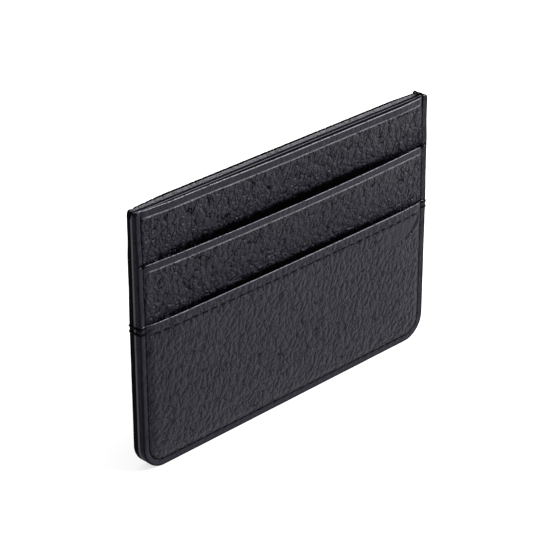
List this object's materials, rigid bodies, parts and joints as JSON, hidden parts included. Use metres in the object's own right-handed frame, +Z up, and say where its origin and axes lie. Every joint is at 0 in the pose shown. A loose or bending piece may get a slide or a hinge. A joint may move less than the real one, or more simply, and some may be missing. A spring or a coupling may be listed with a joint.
{
  "type": "card holder",
  "caption": "Slim stitched leather card holder: two flat stacks of stepped card pockets sewn round three edges, with a pocket between them that opens at the top.",
  "frame": {"origin": "middle of the lower edge, on the central plane between the two stacks, at the height of the surface it stands on", "axes": "+X along the width, to the right when the front is seen; +Y through the thickness, from front to back; +Z up, towards the open mouths"},
  "size_m": [0.1, 0.0076, 0.07],
  "materials": {
    "leather": "black pebbled grain, semi-matt, with creased mouths and painted edges",
    "lining": "thin black twill lining, matt",
    "stiffener": "thin bonded leather board, matt",
    "thread": "waxed black sewing thread"
  },
  "bodies": {
    "root": {"front_lining": "lining", "front_stiffener": "stiffener", "front_panel": "leather", "front_upper_pocket_lining": "lining", "front_upper_pocket": "leather", "front_lower_pocket_lining": "lining", "front_lower_pocket": "leather", "front_perimeter_stitch": "thread", "front_lower_mouth_stitch": "thread", "front_pocket_foot_stitch": "thread", "front_left_mouth_tack": "thread", "front_right_mouth_tack": "thread", "back_lining": "lining", "back_stiffener": "stiffener", "back_panel": "leather", "back_upper_pocket_lining": "lining", "back_upper_pocket": "leather", "back_lower_pocket_lining": "lining", "back_lower_pocket": "leather", "back_perimeter_stitch": "thread", "back_lower_mouth_stitch": "thread", "back_pocket_foot_stitch": "thread", "back_left_mouth_tack": "thread", "back_right_mouth_tack": "thread", "left_edge_wrap_stitch": "thread", "right_edge_wrap_stitch": "thread", "right_top_wrap_stitch": "thread"}
  },
  "joints": []
}
